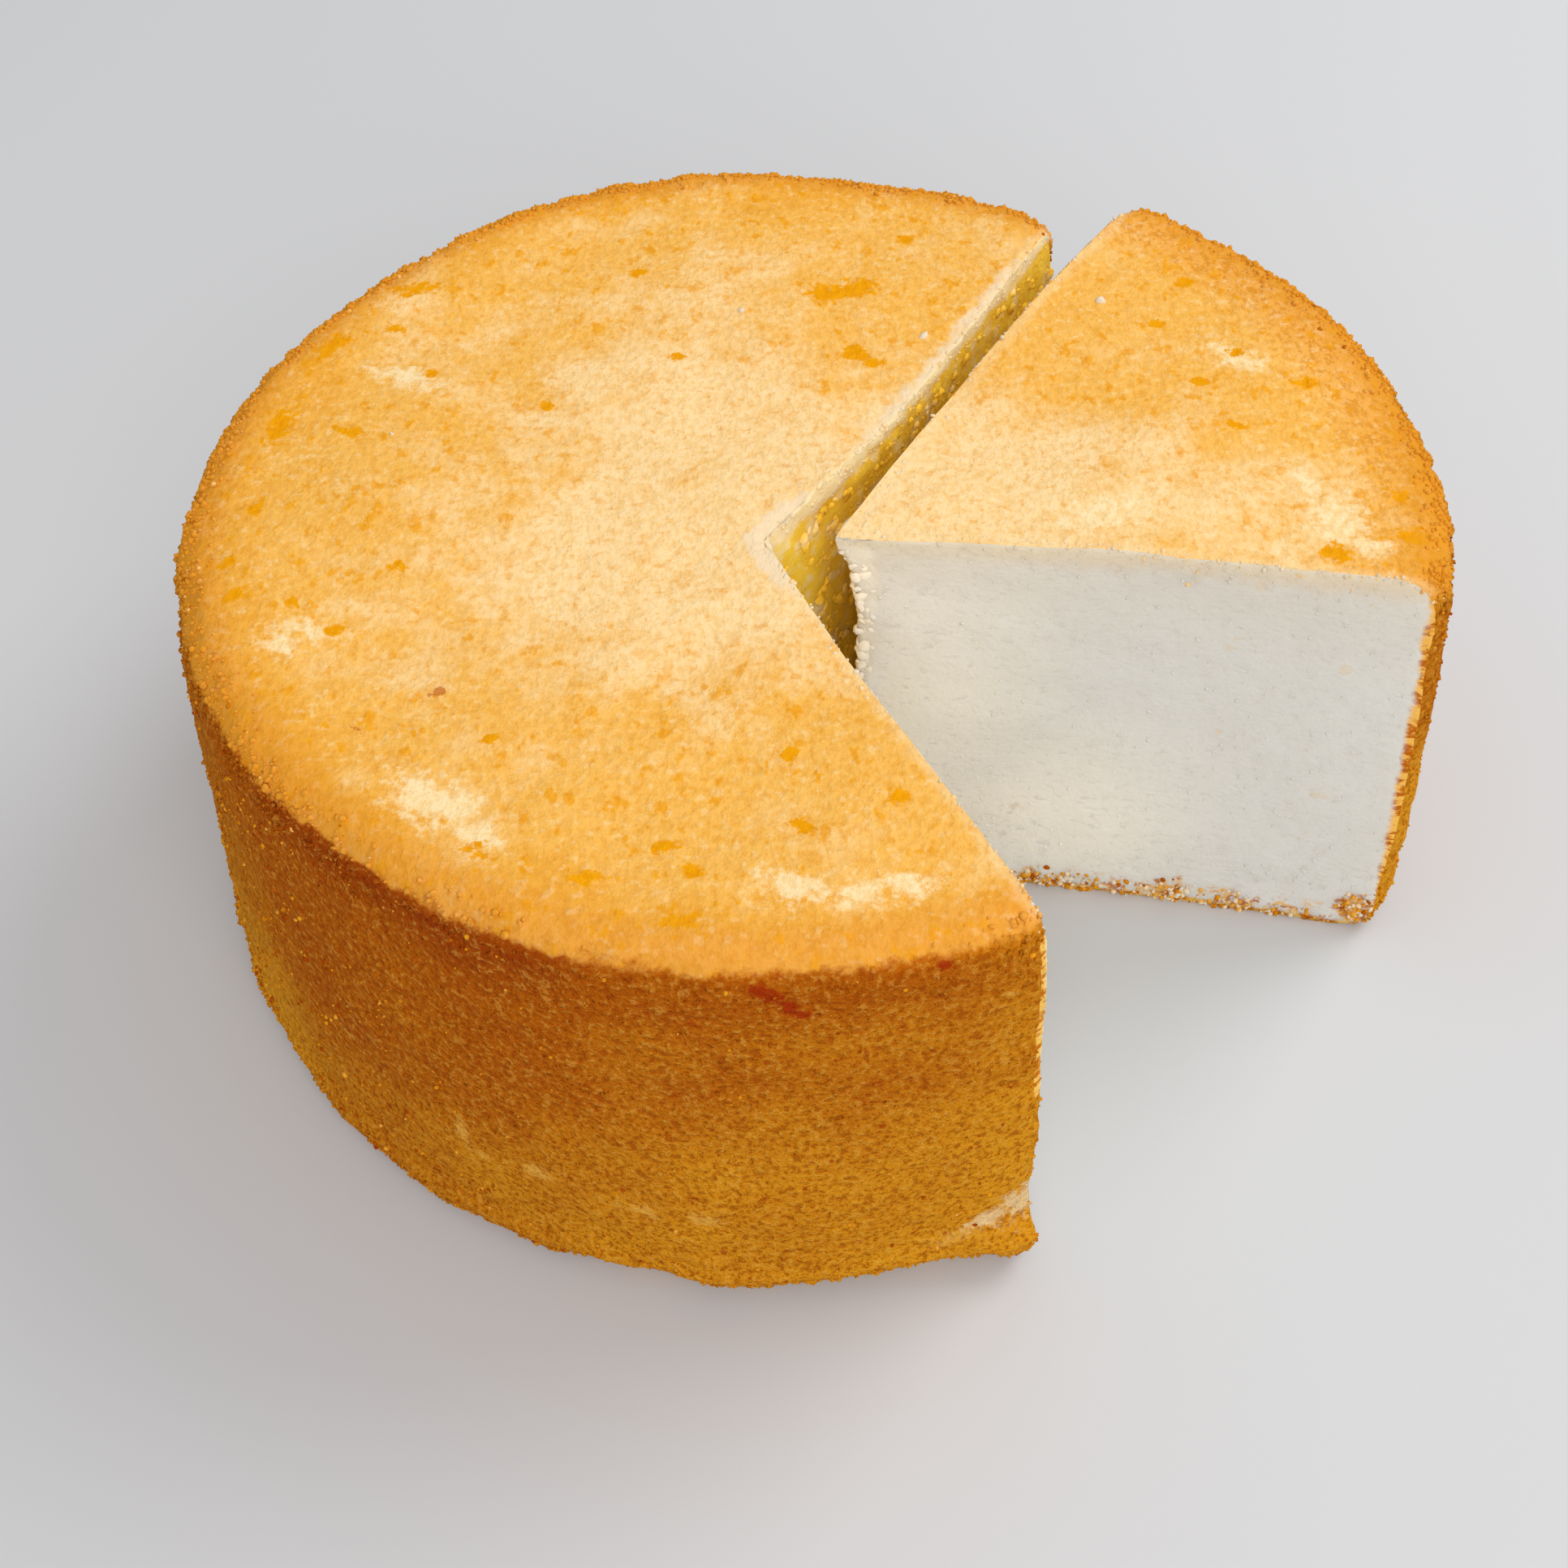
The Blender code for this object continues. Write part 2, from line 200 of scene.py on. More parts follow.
# Single light crumbs that lie on the top: (x mm, y mm, radius mm), and how they look and sit.
LOOSE_CRUMBS = ((-3.3, 36.5, 0.6), (45.7, 37.9, 0.8), (21.5, 30.8, 0.8), (-48.0, 12.0, 0.3))
LOOSE_TONE, LOOSE_SINK, LOOSE_SEED = 0.93, 0.55, 11

# The crumbs: what is added to a piece's seed for the noise that gathers them in clumps, how much
# commoner the small ones are, how far they stray from a vertex, and how knobbly and squashed they are.
CLUMP_SEED = 50
SMALL_BIAS = 2.2
SEAT_JITTER = 0.25 * MM
KNOBS, SQUASH = (0.76, 1.18), (0.6, 1.25)


# ---------------------------------------------------------------------------------------------
# Seeded unevenness


def lattice_value(cells, seed):
    """A fixed random number from -1 to 1 for each whole cell of a lattice."""
    key = cells.astype(np.int64).astype(np.uint64)
    mixed = key[:, 0] * np.uint64(73856093) ^ key[:, 1] * np.uint64(19349663)
    mixed ^= key[:, 2] * np.uint64(83492791) ^ np.uint64(seed * 2654435761 + 97)
    for _ in range(2):
        mixed ^= mixed >> np.uint64(31)
        mixed *= np.uint64(0x9E3779B97F4A7C15)
    return (mixed >> np.uint64(40)).astype(float) / (1 << 23) - 1.0


def noise(points, spacing, seed):
    """Smooth noise from -1 to 1 at each point. The spacing is one size, or one for each axis."""
    cell = points / np.asarray(spacing)
    low = np.floor(cell)
    part = cell - low
    ease = part * part * (3 - 2 * part)
    total = np.zeros(len(points))
    for corner in range(8):
        step = np.array([corner & 1, corner >> 1 & 1, corner >> 2 & 1])
        weight = np.prod(np.where(step, ease, 1 - ease), axis=1)
        total += weight * lattice_value(low + step, seed)
    return total


def smooth_step(value, low, high):
    share = np.clip((value - low) / (high - low), 0.0, 1.0)
    return share * share * (3 - 2 * share)


# ---------------------------------------------------------------------------------------------
# Where things are on a piece


class Cut:
    """An upright cut face, which starts at the apex, runs along an angle and bows a little out."""

    def __init__(self, apex, angle, bow, looks):
        turn = math.radians(angle)
        self.apex = np.array(apex) * MM
        self.along = np.array((math.cos(turn), math.sin(turn)))
        self.out = np.array((math.sin(turn), -math.cos(turn))) * looks
        self.bow = bow * MM

    def away(self, flat):
        """Distance of each (x, y) from the cut."""
        from_apex = flat - self.apex
        along = from_apex @ self.along
        share = np.clip(along / TOP_RADIUS, 0.0, 1.0)
        off = from_apex @ self.out - self.bow * 4 * share * (1 - share)
        return np.hypot(off, np.minimum(along, 0.0))


class Piece:
    """One piece of the cake: its node, the centre of its round side, its two cuts and its looks.

    The arc is in degrees. The centre, the apex and the lean, which is how far the base is off its
    place under the top, are (x, y) in mm. The first cut starts the arc and the last one ends it,
    and each is (angle in degrees, bow in mm). The tan reaches so many mm in from the rim, and the
    rind at the side of a cut is made so many mm thinner.
    """

    def __init__(self, node, skin, slot, seed, arc, centre, lean, apex, first, last, golden_cut,
                 tan_reach, thin_rind, side_marks, foot_lumps):
        self.node = node
        self.skin = skin
        self.short_name = skin[:5]
        self.slot = slot
        self.seed = seed
        self.arc_share = arc / 360
        self.centre = np.array(centre) * MM
        self.lean = np.array(lean) * MM
        self.cuts = (Cut(apex, *first, 1), Cut(apex, *last, -1))
        self.golden_cut = golden_cut
        self.tan_reach = tan_reach * MM
        self.thin_rind = thin_rind
        self.side_marks = side_marks
        self.foot_lumps = foot_lumps

    def upright(self, points):
        """(x, y) with the piece's lean taken out, so that its cuts and its axis are upright."""
        return points[:, :2] - self.lean * (1 - points[:, 2:3] / HEIGHT)

    def radius(self, points):
        return np.linalg.norm(self.upright(points) - self.centre, axis=1)

    def turn(self, points):
        """Degrees from +X about the piece's axis, from 0 to 360."""
        flat = self.upright(points) - self.centre
        return np.degrees(np.arctan2(flat[:, 1], flat[:, 0])) % 360

    def from_cuts(self, points):
        """Distance of each point from the two cuts, one column for each."""
        flat = self.upright(points)
        return np.stack([cut.away(flat) for cut in self.cuts], axis=1)

    def from_apex(self, points):
        return np.linalg.norm(self.upright(points) - self.cuts[0].apex, axis=1)

    def on_cut(self, points, which):
        """1 on the wall of one cut, 0 for the first and 1 for the last, fading out away from it."""
        return 1 - smooth_step(self.from_cuts(points)[:, which], 1.6 * MM, 2.6 * MM)

    def golden(self, points):
        """1 on the wall of the golden cut, where a piece has one."""
        return self.on_cut(points, 0) * self.golden_cut

    def past(self, points, degrees):
        """Degrees past a turn about the axis, from -180 to 180."""
        return (self.turn(points) - degrees + 180) % 360 - 180

    def front(self, points):
        """1 on the part of the round that faces -Y, fading out towards the sides."""
        return np.exp(-((self.past(points, 270) / 48) ** 2))

    def browner_and_shaded(self, points):
        """1 where the side is brownest and darkest, at the front left, fading out sooner towards the
        back: partly the crust's own browning, partly painted shade on the side that faces away from the
        light.
        """
        past = self.past(points, 232)
        return np.exp(-((past / np.where(past < 0, 22, 44)) ** 2))

    def in_side(self, points):
        """How far each point lies in from the crust of the side."""
        up = points[:, 2] / HEIGHT
        return BASE_RADIUS + (TOP_RADIUS - BASE_RADIUS) * up - self.radius(points)

    def from_rim(self, points):
        """Distance in over the top from the rim, or below 0, the distance down the side."""
        inward = np.maximum(0.0, TOP_RADIUS - 1.0 * MM - self.radius(points))
        below = np.maximum(0.0, HEIGHT - 1.5 * MM - points[:, 2])
        return inward - below


LARGE = Piece(
    "cake_large_piece", "large_piece_skin", "golden_cake", seed=2, arc=239, centre=(0, 0),
    lean=(0.2, 2.4), apex=(-0.3, -9.4), first=(58.0, 1.4), last=(296.9, -0.8), golden_cut=True,
    tan_reach=6, thin_rind=1.2, side_marks=SIDE_MARKS, foot_lumps=(),
)
SLICE = Piece(
    "cake_slice", "slice_skin", "golden_cake_slice", seed=7, arc=68, centre=(12.1, 3.9),
    lean=(0.0, -0.6), apex=(11.1, -7.3), first=(-9.7, -1.1), last=(58.3, 1.8), golden_cut=False,
    tan_reach=15, thin_rind=0.0, side_marks={name: () for name in SIDE_MARKS}, foot_lumps=FOOT_LUMPS,
)


# ---------------------------------------------------------------------------------------------
# Skins


def triples(vectors, field):
    """One field of each of Blender's vertices or normals, one row for each."""
    values = np.empty(len(vectors) * 3)
    vectors.foreach_get(field, values)
    return values.reshape(-1, 3)


def vertex_places(mesh):
    return triples(mesh.vertices, "co")


def vertex_normals(mesh):
    return triples(mesh.vertex_normals, "vector")


def mark_crumb(piece, shape):
    """Gives the faces of the cuts material 1. The crust keeps 0."""
    for face in shape.faces:
        corners = np.array([vert.co for vert in face.verts])
        if abs(face.normal.z) > FLATTEST_CUT:
            face.material_index = 0
            continue
        stray = piece.from_cuts(corners).max(axis=0).min()
        inside = piece.radius(corners).max() < WELL_INSIDE
        face.material_index = int(inside or stray < CUT_STRAY)


def rounded(piece, shape):
    """The shape's mesh, smoothed, with its sharp edges and its crumb's border kept."""
    crease = shape.edges.layers.float.new("crease_edge")
    for edge in shape.edges:
        kinds = {face.material_index for face in edge.link_faces}
        sharp = edge.calc_face_angle(0.0) > SHARP_ANGLE
        ends = np.array([vert.co for vert in edge.verts])
        torn = ends[:, 2].min() > HEIGHT - TOP_BAND and piece.golden(ends).min() > 0.5
        edge[crease] = (TORN_CREASE if torn else CREASE) if sharp or len(kinds) > 1 else 0.0
    mesh = bpy.data.meshes.new(piece.skin + "_coarse")
    shape.to_mesh(mesh)
    carrier = bpy.data.objects.new(piece.skin + "_coarse", mesh)
    bpy.context.scene.collection.objects.link(carrier)
    smoothing = carrier.modifiers.new("smooth", "SUBSURF")
    smoothing.levels = SMOOTH_LEVELS
    smoothing.render_levels = SMOOTH_LEVELS
    graph = bpy.context.evaluated_depsgraph_get()
    smooth = bpy.data.meshes.new_from_object(carrier.evaluated_get(graph))
    bpy.data.objects.remove(carrier, do_unlink=True)
    bpy.data.meshes.remove(mesh)
    return smooth


def refined(mesh):
    """Cuts every long edge in two, except on the flat base, which becomes a single face."""
    shape = bmesh.new()
    shape.from_mesh(mesh)
    base = [face for face in shape.faces if all(vert.co.z < BASE_LEVEL for vert in face.verts)]
    bmesh.ops.dissolve_faces(shape, faces=base, use_verts=True)
    long_edges = [
        edge for edge in shape.edges
        if edge.calc_length() > LONGEST_EDGE
        and min(vert.co.z for vert in edge.verts) > 2 * BASE_LEVEL
    ]
    bmesh.ops.subdivide_edges(shape, edges=long_edges, cuts=1, use_grid_fill=True)
    bmesh.ops.recalc_face_normals(shape, faces=shape.faces)
    shape.to_mesh(mesh)
    shape.free()


def crumb_share(mesh):
    """1 at each vertex inside a cut face, 0 on the crust and on the border between them."""
    share = np.ones(len(mesh.vertices))
    for face in mesh.polygons:
        if face.material_index == 0:
            share[list(face.vertices)] = 0.0
    return share


def relief(piece, points, crumb):
    """How far each point moves out along its normal. Each noise is times a height in mm."""
    seed = piece.seed * 10
    from_rim = piece.from_rim(points)
    side = smooth_step(-from_rim, -1.5 * MM, 2.5 * MM)
    rim = np.exp(-((from_rim - 0.5 * MM) / (3.5 * MM)) ** 2)
    foot = 1 - smooth_step(points[:, 2], 2.0 * MM, 9.0 * MM)
    top = 0.06 * noise(points, 2.2 * MM, seed) + 0.05 * noise(points, 1.3 * MM, seed + 1)
    flowing = 0.17 * noise(points, (1.5 * MM, 1.5 * MM, 1.0 * MM), seed + 2)
    lumps = 0.22 * noise(points, (3.6 * MM, 3.6 * MM, 2.6 * MM), seed + 3)
    crags = 0.30 * noise(points, 1.8 * MM, seed + 4) + 0.18 * noise(points, 1.1 * MM, seed + 5)
    rim *= 1 - 0.65 * piece.front(points)
    knifed = piece.golden_cut * np.exp(-((piece.from_cuts(points)[:, 0] / (2.0 * MM)) ** 2))
    crust = top * (1 - side) + (flowing + lumps) * side + crags * np.maximum(rim, 0.8 * foot)
    crust += crags * knifed * (1 - side)
    open_crumb = 0.10 * noise(points, 1.2 * MM, seed + 6) + 0.12 * noise(points, 5.0 * MM, seed + 7)
    torn = np.abs(noise(points, 2.8 * MM, seed + 8))
    open_crumb += torn * np.maximum(0.6 * piece.golden(points), 0.4 * foot)
    tip = 1 - smooth_step(piece.from_apex(points), 0.5 * MM, 5.0 * MM)
    open_crumb += 0.75 * tip * noise(points, 2.6 * MM, seed + 9)
    lifted = smooth_step(points[:, 2], 0.1 * MM, 1.6 * MM)
    return MM * lifted * (crust * (1 - crumb) + open_crumb * crumb)


def ellipse(along, across, half_length, half_width):
    """1 in the middle of a mark, 0 at its edge, and down to -1 away from it."""
    return np.maximum(-1.0, 1 - np.hypot(along / half_length, across / half_width))


def strongest(points, marks):
    """The highest of the marks at each point, or -1 where there are none."""
    return np.maximum.reduce([np.full(len(points), -1.0), *marks])


def top_mark(points, x, y, half_length, half_width, degrees):
    turn = math.radians(degrees)
    right, ahead = points[:, 0] - x * MM, points[:, 1] - y * MM
    along = right * math.cos(turn) + ahead * math.sin(turn)
    across = ahead * math.cos(turn) - right * math.sin(turn)
    return ellipse(along, across, MARK_GROWTH * half_length * MM, MARK_GROWTH * half_width * MM)


def top_marks(points, marks):
    on_top = points[:, 2] > HEIGHT - TOP_BAND
    return np.where(on_top, strongest(points, [top_mark(points, *mark) for mark in marks]), -1.0)


def side_marks(piece, points, marks):
    radius = piece.radius(points)
    return strongest(points, [
        ellipse(
            np.radians(piece.past(points, degrees)) * radius, points[:, 2] - z * MM,
            half_width * MM, half_height * MM,
        )
        for degrees, z, half_width, half_height in marks
    ])


def foot_lumps(piece, points):
    """The golden lumps along the foot of a cut, as marks."""
    along = piece.from_apex(points)
    return strongest(points, [
        ellipse(along - distance * MM, points[:, 2] - z * MM, reach * MM, reach * MM)
        for distance, z, reach in piece.foot_lumps
    ])


def glow(points, x, y, reach, strength):
    """The strength at a place on the top, fading out over the reach."""
    squared = (points[:, 0] - x * MM) ** 2 + (points[:, 1] - y * MM) ** 2
    return strength * np.exp(-(squared / (reach * MM) ** 2))


def warm_lit_cut(piece, points):
    """Where a cut is warmer and brighter than its cream: by the apex and, further out, low down. It is
    partly the crumb's warmer tone, partly painted light that makes up for the shade the large piece
    casts there.
    """
    z, from_apex = points[:, 2], piece.from_apex(points)
    by_tip = 1 - smooth_step(from_apex, 6 * MM, 34 * MM)
    by_tip *= 1 - 0.5 * smooth_step(z, 34 * MM, 60 * MM)
    low = (1 - smooth_step(z, 10 * MM, 44 * MM)) * (1 - smooth_step(from_apex, 24 * MM, 56 * MM))
    return np.maximum(by_tip, low * smooth_step(z, -8 * MM, 16 * MM))


def torn_crust(piece, points):
    """Where the knife has torn the top's crust: round the apex and along the golden cut."""
    from_apex, from_cuts = piece.from_apex(points), piece.from_cuts(points)
    along = smooth_step(from_apex, 9 * MM, 30 * MM)
    along *= 1 - smooth_step(from_apex, 62 * MM, 74 * MM)
    by_kerf = 0.55 * along * (1 - smooth_step(from_cuts[:, 0], 0, 4 * MM))
    by_apex = 1 - smooth_step(from_apex, 4 * MM, 14 * MM)
    by_apex *= 1 - smooth_step(from_cuts.min(axis=1), 0, 4.5 * MM)
    return piece.golden_cut * np.maximum(by_apex, by_kerf)


def side_browning_and_shade(piece, points):
    """How brown and dark the side is: more so away from the front, high up and at the front left, most
    of all just under the rim there. The front left and the band under the rim are partly painted shade.
    """
    upper = smooth_step(points[:, 2], 8 * MM, 56 * MM)
    under_rim = smooth_step(points[:, 2], 52 * MM, 64 * MM)
    left = piece.browner_and_shaded(points)
    away = 1 - piece.front(points)
    return 0.05 + 0.18 * away + 0.4 * upper + 0.42 * left + 0.6 * left * under_rim


def store(mesh, name, values):
    values = values.astype(np.float32)
    mesh.attributes.new(name, "FLOAT", "POINT").data.foreach_set("value", values)


def store_places(piece, mesh, points):
    """What the materials need to know about each point, as attributes in millimetres or shares."""
    from_rim = piece.from_rim(points)
    store(mesh, "from_rim", from_rim / MM)
    store(mesh, "in_side", piece.in_side(points) / MM + piece.thin_rind)
    store(mesh, "from_cut", piece.from_cuts(points).min(axis=1) / MM)
    store(mesh, "golden_cut", piece.golden(points))
    store(mesh, "foot_lump", foot_lumps(piece, points))
    tan = 1 - smooth_step(from_rim, 0.3 * piece.tan_reach, piece.tan_reach)
    store(mesh, "tan", tan * (1 - glow(points, *TAN_GAP)))
    store(mesh, "paleness", np.minimum(sum(glow(points, *place) for place in PALE_GLOWS), 1.0))
    store(mesh, "front", piece.front(points))
    store(mesh, "warm_light_share", warm_lit_cut(piece, points))
    hidden = 0.0 if piece.golden_cut else piece.on_cut(points, 1)
    store(mesh, "hidden_cut", hidden * (1 - smooth_step(points[:, 2], 62 * MM, 65 * MM)))
    store(mesh, "torn", torn_crust(piece, points))
    for name, marks in TOP_MARKS.items():
        store(mesh, name, top_marks(points, marks))
    store(mesh, "browning_and_shade", side_browning_and_shade(piece, points))
    for name, marks in piece.side_marks.items():
        store(mesh, name, side_marks(piece, points, marks))


def make_skin(piece, materials):
    """The piece's visible skin, which stands for its solid."""
    shape = bmesh.new()
    shape.from_mesh(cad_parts[piece.node].data)
    bmesh.ops.remove_doubles(shape, verts=shape.verts, dist=0.001 * MM)
    bmesh.ops.join_triangles(
        shape, faces=shape.faces, angle_face_threshold=JOIN_ANGLE, angle_shape_threshold=JOIN_ANGLE
    )
    shape.normal_update()
    mark_crumb(piece, shape)
    mesh = rounded(piece, shape)
    shape.free()
    refined(mesh)
    points = vertex_places(mesh)
    crumb = crumb_share(mesh)
    store_places(piece, mesh, points)
    moved = points + vertex_normals(mesh) * relief(piece, points, crumb)[:, None]
    moved[:, 2] = np.maximum(moved[:, 2], 0.0)
    mesh.vertices.foreach_set("co", moved.ravel())
    for material in materials:
        mesh.materials.append(material)
    mesh.shade_smooth()
    mesh.set_sharp_from_angle(angle=CRISP_SHADING_ANGLE)
    mesh.name = piece.skin
    skin = bpy.data.objects.new(piece.skin, mesh)
    bpy.context.scene.collection.objects.link(skin)
    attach(skin, "root")
    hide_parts(piece.node)
    return skin


# ---------------------------------------------------------------------------------------------
# Crumbs


def ball(divisions):
    """(vertices, faces) of a ball of radius 1 with triangles."""
    shape = bmesh.new()
    bmesh.ops.create_icosphere(shape, subdivisions=divisions, radius=1.0)
    vertices = np.array([vert.co for vert in shape.verts])
    faces = np.array([[vert.index for vert in face.verts] for face in shape.faces])
    shape.free()
    return vertices, faces


GRAIN, CRUMB = ball(1), ball(2)


def turned(random, count):
    """Random rotations, one for each crumb."""
    parts = random.normal(size=(count, 4))
    w, x, y, z = (parts / np.linalg.norm(parts, axis=1, keepdims=True)).T
    rows = (
        (1 - 2 * (y * y + z * z), 2 * (x * y - z * w), 2 * (x * z + y * w)),
        (2 * (x * y + z * w), 1 - 2 * (x * x + z * z), 2 * (y * z - x * w)),
        (2 * (x * z - y * w), 2 * (y * z + x * w), 1 - 2 * (x * x + y * y)),
    )
    return np.moveaxis(np.array(rows), 2, 0)


def join_crumbs(name, piece, ball_shape, seats, normals, radii, tones, sink, random, material):
    """One mesh of many crumbs: squashed, knobbly balls, each with this share sunk into the skin.

    Without tones they take the colour that their material has at their seats.
    """
    count = len(seats)
    vertices, faces = ball_shape
    knobs = random.uniform(*KNOBS, size=(count, len(vertices), 1))
    squash = random.uniform(*SQUASH, size=(count, 1, 3))
    grown = vertices[None] * knobs * squash * radii[:, None, None]
    placed = np.einsum("nij,nvj->nvi", turned(random, count), grown)
    placed += (seats + normals * (radii * (1 - 2 * sink))[:, None])[:, None]
    placed[:, :, 2] = np.maximum(placed[:, :, 2], 0.0)
    corners = faces[None] + (np.arange(count) * len(vertices))[:, None, None]
    mesh = bpy.data.meshes.new(name)
    mesh.from_pydata(placed.reshape(-1, 3), [], corners.reshape(-1, 3).tolist())
    if tones is None:
        store_places(piece, mesh, np.repeat(seats, len(vertices), axis=0))
    else:
        store(mesh, "tone", np.repeat(tones, len(vertices)))
    mesh.materials.append(material)
    mesh.shade_smooth()
    made = bpy.data.objects.new(name, mesh)
    bpy.context.scene.collection.objects.link(made)
    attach(made, "root")


def pick(random, weights, count):
    return random.choice(len(weights), size=count, p=weights / weights.sum())


def scatter(kind, piece, skin, weights, count, radii, material, tones=None, sink=0.5, shape=GRAIN):
    """Crumbs of random size on the skin, more of them where the weights are high.

    The radii are the smallest and the largest in mm. The tones are (share, lowest, highest) for
    each kind of crumb, from 0, dark brown, to 1, cream.
    """
    name = piece.short_name + "_" + kind
    random = np.random.default_rng(piece.seed * 100 + len(name))
    points, normals = vertex_places(skin.data), vertex_normals(skin.data)
    chosen = pick(random, weights, count)
    shades = None
    if tones:
        shares, lowest, highest = np.array(tones).T
        kinds = pick(random, shares, count)
        shades = random.uniform(lowest[kinds], highest[kinds])
    sizes = MM * (radii[0] + (radii[1] - radii[0]) * random.random(count) ** SMALL_BIAS)
    jitter = random.normal(scale=SEAT_JITTER, size=(count, 3))
    jitter -= normals[chosen] * np.sum(jitter * normals[chosen], axis=1, keepdims=True)
    seats = points[chosen] + jitter
    join_crumbs(name, piece, shape, seats, normals[chosen], sizes, shades, sink, random, material)


def crumb_places(piece, skin):
    """For each part of a piece, how likely a crumb is at each vertex of the skin."""
    points = vertex_places(skin.data)
    crumb = crumb_share(skin.data)
    from_rim = piece.from_rim(points) / MM
    z = points[:, 2] / MM
    edge = piece.from_cuts(points).min(axis=1) / MM
    off_base = smooth_step(z, 0.3, 1.0)
    crust = (1 - crumb) * off_base
    clumps = smooth_step(noise(points, 4 * MM, piece.seed + CLUMP_SEED), -0.6, 0.6) + 0.2
    left = np.exp(-((piece.past(points, 215) / 28) ** 2))
    rim = np.exp(-(((from_rim + 0.3) / 2.4) ** 2)) * crust * clumps
    side = smooth_step(-from_rim, 1.0, 3.0) * crust * clumps
    foot = (1 - smooth_step(z, 2.5, 6.5)) * crust * clumps
    rind = crumb * (1 - smooth_step(z, 0.8, 4.6)) * clumps ** 2
    tip = crumb * np.exp(-((piece.from_apex(points) / (1.5 * MM)) ** 2))
    return {
        "rim": rim * (1 - piece.front(points)) ** 1.5,
        "side": side,
        "left_side": (0.15 + left) * side * clumps ** 2 + 0.6 * foot,
        "foot": foot,
        "lip": np.exp(-((edge / 0.5) ** 2)) * smooth_step(z, 61, 64),
        "face": crumb * off_base,
        "rind": rind + 1.8 * crumb * smooth_step(foot_lumps(piece, points), 0.0, 0.7),
        "wall": crumb * smooth_step(z, 25, 45) * (1 - smooth_step(z, 60, 63.5)) * piece.golden(points),
        "tip": tip * smooth_step(z, 15, 40) * (1 - smooth_step(z, 56, 62)),
    }


def sprinkle(piece, skin, crust_paint, crumb_paint, bits_paint):
    """All the crumbs of one piece: grains of its crust, darker and paler bits, and crumb on its cuts.

    The grains and the bits of the rim and the side are counted for a whole round.
    """
    places = crumb_places(piece, skin)
    round_share = piece.arc_share
    for kind, place, count, radii in (
        ("rim_grains", "rim", 9000, (0.16, 0.54)),
        ("side_grains", "side", 14500, (0.14, 0.36)),
        ("foot_grains", "foot", 4000, (0.18, 0.55)),
    ):
        scatter(kind, piece, skin, places[place], int(count * round_share), radii, crust_paint)
    for kind, place, count, radii, tones in (
        ("rind_bits", "rind", 1500, (0.14, 0.55),
         ((0.5, 0.36, 0.66), (0.1, 0.15, 0.3), (0.4, 0.86, 0.96))),
        ("side_bits", "left_side", int(2600 * round_share), (0.16, 0.42),
         ((0.5, 0.04, 0.3), (0.35, 0.38, 0.5), (0.15, 0.5, 0.6))),
        ("rim_bits", "rim", int(700 * round_share), (0.14, 0.36),
         ((0.4, 0.3, 0.45), (0.6, 0.5, 0.75))),
    ):
        scatter(kind, piece, skin, places[place], count, radii, bits_paint, tones)
    scatter(
        "lip_crumbs", piece, skin, places["lip"], 200, (0.12, 0.34), bits_paint,
        ((1.0, 0.78, 0.94),), sink=0.6, shape=CRUMB,
    )
    scatter("cut_crumbs", piece, skin, places["face"], 3000, (0.14, 0.36), crumb_paint, sink=0.66)
    if piece.golden_cut:
        place, count, radii, sink = "wall", 620, (0.6, 1.4), 0.82
    else:
        place, count, radii, sink = "tip", 80, (0.5, 1.1), 0.8
    scatter(
        "cut_lumps", piece, skin, places[place], count, radii, crumb_paint, sink=sink, shape=CRUMB
    )


def drop_loose_crumbs(skins, material):
    """The few single crumbs that lie on the top, each on the piece that is under it."""
    random = np.random.default_rng(LOOSE_SEED)
    for piece, skin in skins:
        points = vertex_places(skin.data)
        seats, radii = [], []
        for x, y, radius in LOOSE_CRUMBS:
            away = np.hypot(points[:, 0] - x * MM, points[:, 1] - y * MM)
            near = np.where(points[:, 2] > HEIGHT - 3 * MM, away, 1.0).argmin()
            if away[near] < 1.0 * MM:
                seats.append(points[near])
                radii.append(radius * MM)
        up = np.tile((0.0, 0.0, 1.0), (len(seats), 1))
        tones = np.full(len(seats), LOOSE_TONE)
        join_crumbs(
            piece.short_name + "_loose_crumbs", piece, CRUMB, np.array(seats), up, np.array(radii),
            tones, LOOSE_SINK, random, material,
        )


# ---------------------------------------------------------------------------------------------
# Materials


